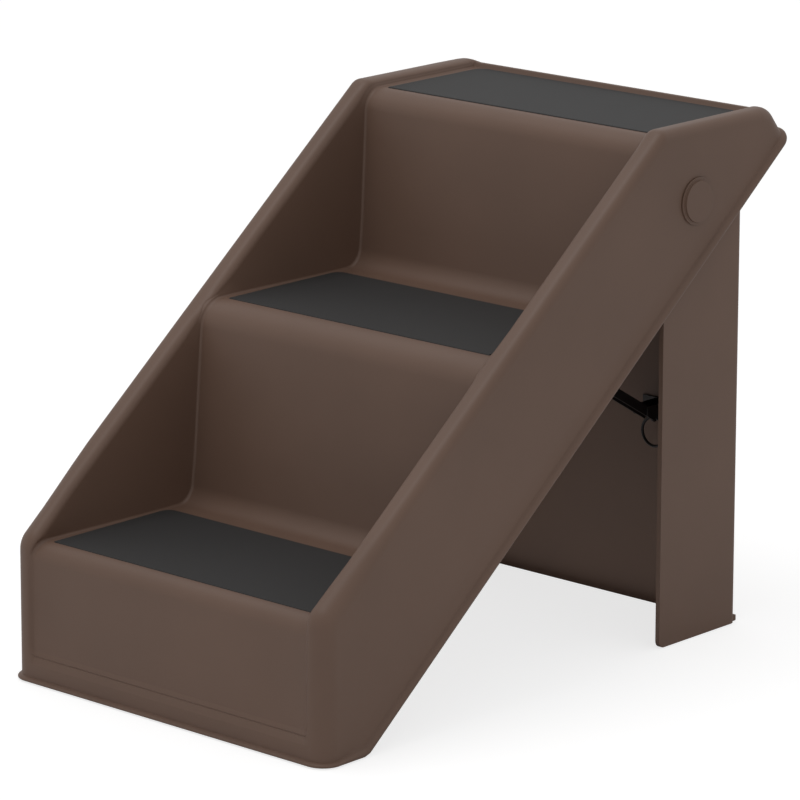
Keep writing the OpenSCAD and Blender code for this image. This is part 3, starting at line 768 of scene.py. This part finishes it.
def run_tree(obj, tree, inputs):
    """Runs a tree on an object with values for its named inputs, and keeps the result."""
    change = obj.modifiers.new(tree.name, "NODES")
    change.node_group = tree
    for label, value in inputs.items():
        change[socket_id(tree, label)] = value
    bake(obj)
    return smooth(obj)


def copied(name, shape, places, skin_finish):
    """A plain mesh with one copy of the shape at each place, which is in stair coordinates."""
    mesh = bpy.data.meshes.new(name)
    mesh.from_pydata([Vector(p) for p in to_frame(places)], [], [])
    copies = run_tree(add_object(name, mesh), COPIES,
                      {"Shape": shape, "Size": 1.0, "Finish": skin_finish})
    bpy.data.objects.remove(shape)
    return copies


print("inputs of the copying tree:", [socket_id(COPIES, n) for n in ("Shape", "Size", "Finish")])

# %% [markdown]
# ## Ribs under the treads
# Under each tread the moulding has upright ribs that run with the stairs and carry the load.
# They are one profile repeated across the width. A rib's top follows the inner skin, so its
# outline is taken from the same line and drawn only once.

# %% Draw one rib for each tread and copy it
RIB_T, RIB_H, RIB_SINK = 2.2, 14.0, 0.6
RIB_X = [-142, -58, 0, 58, 142]
RIB_ENDS = {TREAD_1: 204.0, TREAD_2: 444.0, TREAD_3: 573.0}
RIB_SAMPLES, RIB_KEEP = 3000, 12


def prism(name, outline, low, high, axis="x"):
    """A flat plate as thick as low to high along X or Z, from an outline across it."""
    bm = bmesh.new()
    sides = []
    for level in (low, high):
        corners = [(level, a, b) if axis == "x" else (a, b, level) for a, b in outline]
        sides.append([bm.verts.new(Vector(c) * MM) for c in corners])
    bm.faces.new(sides[0])
    bm.faces.new(sides[1][::-1])
    count = len(outline)
    for i in range(count):
        j = (i + 1) % count
        bm.faces.new([sides[0][i], sides[1][i], sides[1][j], sides[0][j]])
    bmesh.ops.recalc_face_normals(bm, faces=bm.faces)
    return object_from(name, bm)


def rib_outline(tread_z, y_end):
    """A rib's side view: up against the skin under a tread, and level along the bottom."""
    line = inner_step_line(0)
    points, normals = line.at(np.linspace(0, line.length, RIB_SAMPLES))
    points = points - normals * (SKIN - RIB_SINK)
    bottom, top = tread_z - SKIN - RIB_H, tread_z - SKIN + RIB_SINK
    first = next(i for i, p in enumerate(points) if p[1] >= bottom)
    last = next(i for i, p in enumerate(points) if p[0] >= y_end)
    chain = points[first:last:RIB_KEEP]
    chain[:, 1] = np.minimum(chain[:, 1], top)
    return [(y, z) for y, z in chain] + [(y_end, top), (y_end, bottom)]


ribs = []
for tread_z, y_end in RIB_ENDS.items():
    rib = prism("rib", rib_outline(tread_z, y_end), -RIB_T / 2, RIB_T / 2)
    ribs.append(copied("tread_ribs_%d" % int(tread_z), rib, [(x, 0, 0) for x in RIB_X], MOULDED))
print("ribs:", sum(len(r.data.polygons) for r in ribs), "faces")

# %% [markdown]
# ## Screw bosses
# The brackets of the struts are screwed to four round bosses under the second tread. A boss
# is a short pillar with a chamfered end and a flared root. A cylinder with bevels comes
# close, but a turned profile gives the flare too, and also makes the screws and rivets.

# %% Turn one boss and copy it
BOSS_R, BOSS_LOW, BOSS_HIGH = 5.5, 313.8, 324.4
BOSS_RISE = BOSS_HIGH - BOSS_LOW
BOSS_END = [(0, 0), (BOSS_R - 0.6, 0), (BOSS_R, 0.6)]
BOSS_FLARE = [(0.1, 3), (0.6, 1.6), (2, 0.6), (2, 0)]  # wider by, and down from the skin
BRACE_X, BRACE_Y, SCREW_REACH = 100.0, 411.923, 17.0


def spun_point(axis, u, v, h):
    """A point at height h along the axis, and at u and v across it."""
    return Vector({"x": (h, u, v), "y": (u, h, v), "z": (u, v, h)}[axis]) * MM


def turned(name, profile, axis="z", sides=32):
    """A solid of revolution from (radius, height) points, with its two ends on the axis.
    A third number in a point pinches that ring into a cross, as a screwdriver's recess has."""
    bm = bmesh.new()
    rings = []
    for r, h, *pinch in profile:
        ring = []
        for a in [2 * math.pi * i / sides for i in range(sides if r else 1)]:
            k = r * (1 - pinch[0] * (1 - abs(math.cos(2 * a)) ** 2)) if pinch else r
            ring.append(bm.verts.new(spun_point(axis, k * math.cos(a), k * math.sin(a), h)))
        rings.append(ring * (1 if r else sides))
    for low, high in zip(rings[:-1], rings[1:]):
        for i in range(sides):
            j = (i + 1) % sides
            bm.faces.new(list(dict.fromkeys([low[i], low[j], high[j], high[i]])))
    bmesh.ops.recalc_face_normals(bm, faces=bm.faces)
    return object_from(name, bm)


boss_profile = BOSS_END + [(BOSS_R + wide, BOSS_RISE - down) for wide, down in BOSS_FLARE]
boss = turned("boss", boss_profile + [(0, BOSS_RISE)])
boss_places = [(x, BRACE_Y + y, BOSS_LOW)
               for x in (-BRACE_X, BRACE_X) for y in (-SCREW_REACH, SCREW_REACH)]
bosses = copied("screw_bosses", boss, boss_places, MOULDED)
print("bosses:", len(boss_places), "with", len(bosses.data.polygons), "faces")

# %% [markdown]
# ## Pads for the front feet
# A rubber foot is fixed to a flat pad in each front corner of the shell. A pad has the
# shell's round corner outside and another one inside. It could be cut from a copy of the
# shell, but an outline with two arcs, made into a plate, is simpler and cleaner.

# %% Draw the two foot pads
PAD_W, PAD_LOW, PAD_HIGH, PAD_ROUND = 27.2, 3.0, 7.0, 9.0
PAD_SINK, CORNER_SINK = 0.2, 0.8
OUTSIDE_ARC, INSIDE_ARC = np.linspace(0, math.pi / 2, 9), np.linspace(0, math.pi / 2, 7)

pad_x, pad_y = HALF_W - SKIN + PAD_SINK, FRONT_Y + SKIN - PAD_SINK
centre_x, centre_y = HALF_W - CORNER_FRONT, FRONT_Y + CORNER_FRONT
pad_r = CORNER_FRONT - SKIN + CORNER_SINK
pad_outline = [(pad_x, pad_y + PAD_W)]
pad_outline += [(centre_x + pad_r * math.cos(a), centre_y - pad_r * math.sin(a))
                for a in OUTSIDE_ARC]
pad_outline += [(pad_x - PAD_W, pad_y)]
pad_outline += [(pad_x - PAD_W + PAD_ROUND * (1 - math.cos(a)),
                 pad_y + PAD_W - PAD_ROUND * (1 - math.sin(a)))
                for a in INSIDE_ARC]
pads = []
for name, side in (("foot_pad_left", -1), ("foot_pad_right", 1)):
    flat = [(side * x, y - HALF_DEPTH) for x, y in pad_outline]
    pads.append(prism(name, flat, PAD_LOW, PAD_HIGH, "z"))
    pads[-1].data.materials.append(MOULDED)
print("pads:", sum(len(pad.data.polygons) for pad in pads), "faces")

# %% [markdown]
# ## Screws
# Four pan-head screws hold the brackets. Each has a low round head with a cross recess, a
# shank and a point. A thread could be swept round the shank, but it would be hidden in the
# boss, so one profile from the recess to the point is enough.

# %% Turn one screw and copy it
SCREW_LOW = 309.8
RECESS = [(0, 1.3), (0.5, 1.25, 0.5), (1.3, 1.0, 0.6), (1.9, 0.12, 0.6)]
HEAD = [(2.2, 0.02), (2.9, 0.25), (3.35, 0.7), (3.6, 1.3), (3.6, 2.2)]
SHANK = [(1.75, 2.2), (1.75, 10.6), (0.5, 12.3), (0, 12.4)]

screw = turned("screw", RECESS + HEAD + SHANK)
screws = copied("bracket_screw_set", screw,
                [(x, y, SCREW_LOW) for x, y, _ in boss_places], BRIGHT_STEEL)
print("screws:", len(boss_places), "with", len(screws.data.polygons), "faces")

# %% [markdown]
# ## Rivets
# Two rivets hold each catch on the leg, and a longer one is the hinge of each strut. A rivet
# is a pin with a low domed head at both ends, so one profile with two lengths makes both.

# %% Turn one rivet of each kind and copy it
CATCH_RIVET_X, CATCH_RIVET_Y, CATCH_RIVET_Z = 17.0, 589.9, 201.0
CATCH_RIVET_LENGTH, CATCH_RIVET_R = 9.8, 2.0
HINGE_Z, HINGE_HALF, HINGE_R = 294.0, 10.9, 2.5


def dome(length, pin_r, head_r=4.0, head_h=1.5):
    """A pin with a low domed head at both ends, from height 0 to its length."""
    head = [(0, 0), (head_r * 0.4, 0.05), (head_r * 0.72, 0.3), (head_r * 0.93, 0.8),
            (head_r, 1.2), (head_r, head_h), (pin_r, head_h)]
    return head + [(r, length - h) for r, h in head[::-1]]


catch_places = [(side * BRACE_X + x, CATCH_RIVET_Y, CATCH_RIVET_Z)
                for side in (-1, 1) for x in (-CATCH_RIVET_X, CATCH_RIVET_X)]
hinge_places = [(side * BRACE_X, BRACE_Y, HINGE_Z) for side in (-1, 1)]
catch_rivet = turned("rivet", dome(CATCH_RIVET_LENGTH, CATCH_RIVET_R), "y")
catch_rivets = copied("catch_rivet_set", catch_rivet, catch_places, BRIGHT_STEEL)
hinge_pin = turned("pin", [(r, h - HINGE_HALF) for r, h in dome(2 * HINGE_HALF, HINGE_R)], "x")
hinge_pins = copied("hinge_pin_set", hinge_pin, hinge_places, BRIGHT_STEEL)
FASTENERS = {"bracket_screws": screws, "catch_rivets": catch_rivets, "hinge_pins": hinge_pins}
print("fasteners:", {node: len(piece.data.polygons) for node, piece in FASTENERS.items()})

# %% [markdown]
# ## Pull rings
# Each strut is pulled out of its catch by a ring of round wire that hangs in the strut's eye.
# A torus would do, but a wire bent along a path is what the ring really is, so a tree sweeps
# a round section along a circle. Any bent wire could be made by changing the path alone.

# %% A tree that sweeps wire round a ring
PATH_POINTS, WIRE_POINTS = 72, 16


def ring_tree(name):
    """A round wire swept along an upright circle that faces along Y."""
    tree, given, result = start_tree(name, {
        "Geometry": "Geometry", "Ring radius": "Float", "Wire radius": "Float",
        "Centre": "Vector", "Finish": "Material"})
    new, link = tree.nodes.new, tree.links.new
    path, section = [new("GeometryNodeCurvePrimitiveCircle") for _ in range(2)]
    path.inputs["Resolution"].default_value = PATH_POINTS
    section.inputs["Resolution"].default_value = WIRE_POINTS
    sweep, stand = new("GeometryNodeCurveToMesh"), new("GeometryNodeTransform")
    stand.inputs["Rotation"].default_value = (math.pi / 2, 0, 0)
    link(given.outputs["Ring radius"], path.inputs["Radius"])
    link(given.outputs["Wire radius"], section.inputs["Radius"])
    link(path.outputs["Curve"], sweep.inputs["Curve"])
    link(section.outputs["Curve"], sweep.inputs["Profile Curve"])
    link(sweep.outputs["Mesh"], stand.inputs["Geometry"])
    link(given.outputs["Centre"], stand.inputs["Translation"])
    return end_tree(tree, given, result, stand.outputs["Geometry"])


WIRE_RING = ring_tree("Wire ring")
print("its sockets:", [item.name for item in WIRE_RING.interface.items_tree])

# %% Sweep the two rings
EYE_Y, EYE_Z, RING_R, WIRE_R = 581.197, 194.4, 14.5, 1.5

rings = {}
for node, side in (("pull_ring_left", -1), ("pull_ring_right", 1)):
    ring = add_object("wire_" + node, bpy.data.meshes.new("wire_" + node))
    rings[node] = run_tree(ring, WIRE_RING, {
        "Ring radius": RING_R * MM, "Wire radius": WIRE_R * MM,
        "Centre": to_frame([side * BRACE_X, EYE_Y, EYE_Z - RING_R])[0], "Finish": RING_STEEL})
print("rings:", {node: len(ring.data.polygons) for node, ring in rings.items()})

# %% [markdown]
# ## Soft edges on the solids
# The leg, the mats and the steel parts already have the right shapes, but each edge of a
# solid is perfectly sharp, and no moulded or folded part is. A copy of each mesh is merged,
# its flat areas are joined up again, and a Bevel by angle rounds only the real edges. The
# solid itself is never touched, so the copy stands in for it by name.

# %% Rounded copies of solids
SAME_POINT, FLAT_ANGLE = 0.000005, math.radians(0.8)
ROUND_STEPS, EDGE_STEPS, EDGE_ANGLE = 5, 2, 32


def stair_point(co):
    """A place in the frame back in stair coordinates."""
    return np.array(co) / MM + np.array([0, HALF_DEPTH, 0])


def joined_copy(node, rounds):
    """A copy of a solid with its loose triangles joined. Rounds name the edges that get a
    larger radius, by a test of their ends in stair coordinates."""
    bm = bmesh.new()
    bm.from_mesh(frame["nodes"][node].data)
    bmesh.ops.remove_doubles(bm, verts=bm.verts, dist=SAME_POINT)
    bmesh.ops.dissolve_limit(bm, angle_limit=FLAT_ANGLE, verts=bm.verts, edges=bm.edges)
    for chosen, large in rounds:
        edges = [e for e in bm.edges if chosen(*[stair_point(v.co) for v in e.verts])]
        bmesh.ops.bevel(bm, geom=edges, offset=large * MM, segments=ROUND_STEPS, profile=0.5,
                        affect="EDGES")
        print(node, "rounded", len(edges), "edges at", large, "mm")
    bmesh.ops.dissolve_degenerate(bm, edges=bm.edges, dist=2 * SAME_POINT)
    return object_from("soft_" + node, bm)


def softened(node, radius, skin_finish, rounds=()):
    """A copy of a solid with all its sharp edges rounded, in one finish."""
    obj = joined_copy(node, rounds)
    change = obj.modifiers.new("Edges", "BEVEL")
    change.width, change.segments = radius * MM, EDGE_STEPS
    change.limit_method, change.angle_limit = "ANGLE", math.radians(EDGE_ANGLE)
    change.use_clamp_overlap = True
    bake(obj)
    smooth(obj, EDGE_ANGLE)
    level = obj.modifiers.new("Flat faces stay flat", "WEIGHTED_NORMAL")
    level.keep_sharp = True
    bake(obj)
    obj.data.materials.clear()
    obj.data.materials.append(skin_finish)
    return obj


print("solids to start from:", len(frame["nodes"]))

# %% [markdown]
# ## Which body carries each piece
# The leg, the struts and the rings move, and everything else belongs to the shell. Each
# piece rides on its body, and the solid it stands for is hidden. The record already says
# which solid belongs to which body, so no list is written twice.

# %% Place a piece on its body
BODY_OF = {node: body for body, nodes in frame["record"]["behaviour"]["bodies"].items()
           for node in nodes}


def place(obj, body, slot_name, *stands_for):
    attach(obj, body)
    if stands_for:
        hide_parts(*stands_for)


def dress(nodes, radius, skin_finish, slot_name, rounds=()):
    """Rounds and places one piece for each node, and gives the number of faces of each."""
    faces = {}
    for node in nodes:
        piece = softened(node, radius, skin_finish, rounds)
        place(piece, BODY_OF[node], slot_name, node)
        faces[node] = len(piece.data.polygons)
    return faces


print("bodies:", sorted(set(BODY_OF.values())))

# %% [markdown]
# ## The leg
# The leg is one moulded channel. Its front bottom corner and the lip along its foot are
# rounder than its other edges, so these are picked out first by where they lie, and the
# Bevel then rounds the rest by the same small radius.

# %% Round the leg
LEG_FRONT_Y, LEG_BACK_Y, LIP_OUT = 480.197, 598.197, 6.0
LEG_CORNER_R, LIP_ROUND, LEG_EDGE = 7.0, 2.4, 1.2
NEAR, LONG_ENOUGH = 0.15, 1


def along_x_at(y, z):
    """A test for edges that run across the stairs at one place in the side view."""
    def test(a, b):
        spot = np.array([y, z])
        off = max(abs(a[1:] - spot).max(), abs(b[1:] - spot).max())
        return abs(a[0] - b[0]) > LONG_ENOUGH and off < NEAR
    return test


def lip_edge(a, b):
    """The four edges round the outer face of the leg's foot lip."""
    return max(abs(a[1] - LEG_BACK_Y - LIP_OUT), abs(b[1] - LEG_BACK_Y - LIP_OUT)) < NEAR


LEG_ROUNDS = [(along_x_at(LEG_FRONT_Y, FLOOR_GAP), LEG_CORNER_R), (lip_edge, LIP_ROUND)]
print("leg:", dress(["rear_leg"], LEG_EDGE, LEG_PLASTIC, "leg_plastic", LEG_ROUNDS))

# %% [markdown]
# ## The grip mats
# Three rubber sheets lie in shallow recesses on the treads. They need no more than a small
# round along their upper edges, which catches a thin line of light as the real ones do.

# %% Round the mats
MAT_EDGE = 0.8
MATS = ["lower_mat", "middle_mat", "upper_mat"]
print("mats:", dress(MATS, MAT_EDGE, MAT_RUBBER, "grip_mat"))

# %% [markdown]
# ## The leg's pivots
# The leg turns on two moulded plugs. Outside, a plug is a stepped round disc on the side
# wall. Inside, its shaft carries a washer and ends in a push-on clip. Moulded edges get a
# larger round than the thin steel of the clips.

# %% Round the plugs, washers and clips
PLUG_EDGE, WASHER_EDGE, CLIP_EDGE = 0.7, 0.3, 0.2
PLUGS = ["pivot_plug_left", "pivot_plug_right"]
print("plugs:", dress(PLUGS, PLUG_EDGE, MOULDED, "shell_plastic"))
print("washers:", dress(["pivot_washers"], WASHER_EDGE, WASHER_PLASTIC, "washer_plastic"))
print("clips:", dress(["pivot_clips"], CLIP_EDGE, BRIGHT_STEEL, "bright_steel"))

# %% [markdown]
# ## Struts, brackets and catches
# A pressed steel strut holds the leg open at each side. It hangs in a plated bracket under
# the second tread and snaps into a dark catch on the leg. Pressed sheet bends with a small
# radius, so these pieces get narrow rounds.

# %% Round the struts, brackets and catches
STRUT_EDGE, BRACKET_EDGE = 0.4, 0.3
STRUTS, CATCHES = ["brace_left", "brace_right"], ["catch_left", "catch_right"]
BRACKETS = ["brace_bracket_left", "brace_bracket_right"]
print("struts:", dress(STRUTS, STRUT_EDGE, DARK_STEEL, "dark_steel"))
print("brackets:", dress(BRACKETS, BRACKET_EDGE, BRIGHT_STEEL, "bright_steel"))
print("catches:", dress(CATCHES, STRUT_EDGE, DARK_STEEL, "dark_steel"))

# %% [markdown]
# ## Rubber feet
# Four small rubber feet keep the stairs from sliding, two under the shell and two under the
# leg. They are plain buttons, so the solid with a round edge is already the real shape.

# %% Round the feet
FOOT_EDGE = 0.6
FEET = ["front_foot_left", "front_foot_right", "leg_foot_left", "leg_foot_right"]
print("feet:", dress(FEET, FOOT_EDGE, BLACK_RUBBER, "black_rubber"))

# %% [markdown]
# ## The pieces made here
# The shell, the rivets, the screws and the rings replace their solids. Ribs, bosses and pads
# belong to the shell's own moulding and stand for no solid of their own.

# %% Place the new pieces
for node, piece in FASTENERS.items():
    place(piece, BODY_OF[node], "bright_steel", node)
for node, piece in rings.items():
    place(piece, BODY_OF[node], "ring_steel", node)
for piece in ribs + [bosses] + pads:
    place(piece, "shell", "shell_plastic")
place(shell, "shell", "shell_plastic", "stair_shell")
print("new pieces:", len(FASTENERS) + len(rings) + len(ribs + [bosses] + pads) + 1)

# %% [markdown]
# ## The floor
# The stairs stand on a pale floor that keeps a soft shadow. More light would make it white,
# but would bleach the stairs too. So part of what the camera sees of the floor is a glow,
# chosen by Light Path, and the light that the floor sends to the stairs stays natural.

# %% Lay the floor
FLOOR_REACH, FLOOR_GREY, FLOOR_ROUGHNESS = 14.0, 0.9, 0.9
FLOOR_GLOW, GLOW_PART = 1.35, 0.55


def floor_material():
    material = bpy.data.materials.new("pale floor")
    material.use_nodes = True
    nodes, link = material.node_tree.nodes, material.node_tree.links.new
    plain = nodes["Principled BSDF"]
    plain.inputs["Base Color"].default_value = (FLOOR_GREY, FLOOR_GREY, FLOOR_GREY, 1)
    plain.inputs["Roughness"].default_value = FLOOR_ROUGHNESS
    glow = nodes.new("ShaderNodeEmission")
    glow.inputs["Strength"].default_value = FLOOR_GLOW
    seen, mix = nodes.new("ShaderNodeMixShader"), nodes.new("ShaderNodeMixShader")
    seen.inputs["Fac"].default_value = GLOW_PART
    path = nodes.new("ShaderNodeLightPath")
    link(plain.outputs["BSDF"], seen.inputs[1])
    link(glow.outputs["Emission"], seen.inputs[2])
    link(path.outputs["Is Camera Ray"], mix.inputs["Fac"])
    link(plain.outputs["BSDF"], mix.inputs[1])
    link(seen.outputs["Shader"], mix.inputs[2])
    link(mix.outputs["Shader"], nodes["Material Output"].inputs["Surface"])
    return material


r = FLOOR_REACH
floor_mesh = bpy.data.meshes.new("floor")
floor_mesh.from_pydata([(-r, -r, 0), (r, -r, 0), (r, r, 0), (-r, r, 0)], [], [(0, 1, 2, 3)])
floor_mesh.materials.append(floor_material())
floor = add_object("floor", floor_mesh)
print("floor:", 2 * r, "m square")

# %% [markdown]
# ## The world
# A white studio lights the stairs softly from everywhere. Its light is turned down, so that
# a colour renders about as it is written, while the camera, glossy metal and clear surfaces
# still see plain white behind the stairs.

# %% Make the world white
WORLD_LIGHT, PLAIN_WHITE = 0.6, 1.0


def white_world(strength):
    """A world that lights the stairs softly and looks white to the camera."""
    world = bpy.data.worlds.new("studio")
    bpy.context.scene.world = world
    world.use_nodes = True
    nodes, link = world.node_tree.nodes, world.node_tree.links.new
    lit, seen = nodes["Background"], nodes.new("ShaderNodeBackground")
    lit.inputs["Color"].default_value = (1, 1, 1, 1)
    lit.inputs["Strength"].default_value = strength
    seen.inputs["Strength"].default_value = PLAIN_WHITE
    path, mix = nodes.new("ShaderNodeLightPath"), nodes.new("ShaderNodeMixShader")
    either = path.outputs["Is Camera Ray"]
    for ray in ("Is Glossy Ray", "Is Transmission Ray"):
        larger = nodes.new("ShaderNodeMath")
        larger.operation = "MAXIMUM"
        link(either, larger.inputs[0])
        link(path.outputs[ray], larger.inputs[1])
        either = larger.outputs["Value"]
    link(either, mix.inputs["Fac"])
    link(lit.outputs["Background"], mix.inputs[1])
    link(seen.outputs["Background"], mix.inputs[2])
    link(mix.outputs["Shader"], nodes["World Output"].inputs["Surface"])


white_world(WORLD_LIGHT)
print("the world lights at", WORLD_LIGHT, "and is seen at", PLAIN_WHITE)

# %% [markdown]
# ## Lamps
# A large disc overhead and a little in front gives the treads more light than the risers,
# with soft shadows. A weak panel just above the floor stands for the light that a white
# table throws up into the open underside.

# %% Hang the lamps
def soft_lamp(name, at, aim, size, watts, shape="DISK"):
    """An area lamp at one place, turned towards another."""
    data = bpy.data.lights.new(name, "AREA")
    data.shape, data.energy = shape, watts
    data.size, data.size_y = size
    lamp = add_object(name, data)
    lamp.location = at
    lamp.rotation_euler = (Vector(aim) - Vector(at)).to_track_quat("-Z", "Y").to_euler()
    print(name, "gives", watts, "watts")
    return lamp


soft_lamp("overhead", at=(-0.4, -0.5, 3.2), aim=(0, 0, 0.25), size=(1.8, 1.8), watts=24)
table_glow = soft_lamp("table glow", at=(0, -0.01, 0.004), aim=(0, -0.01, 1),
                       size=(0.36, 0.52), watts=0.2, shape="RECTANGLE")
table_glow.visible_camera = False

# %% [markdown]
# ## Camera
# The photograph was taken from the front right and above, with a long lens, so that lines
# which are parallel on the stairs stay nearly parallel in the picture. The place and the
# lens were fitted to the edges of the stairs. Standard view keeps colours as written.

# %% Aim the camera
SENSOR_WIDTH, LENS = 36.0, 217.66
CAMERA_AT, CAMERA_AIM = (2.9939, -3.2859, 1.4038), Vector((-0.0277, 0.0230, 0.2333))

camera_data = bpy.data.cameras.new("camera")
camera_data.sensor_width, camera_data.lens = SENSOR_WIDTH, LENS
camera = add_object("camera", camera_data)
camera.location = CAMERA_AT
camera.rotation_euler = (CAMERA_AIM - camera.location).to_track_quat("-Z", "Y").to_euler()
bpy.context.scene.camera = camera
bpy.context.scene.view_settings.view_transform = "Standard"
print("the camera is", round((CAMERA_AIM - camera.location).length, 2), "m from the stairs")
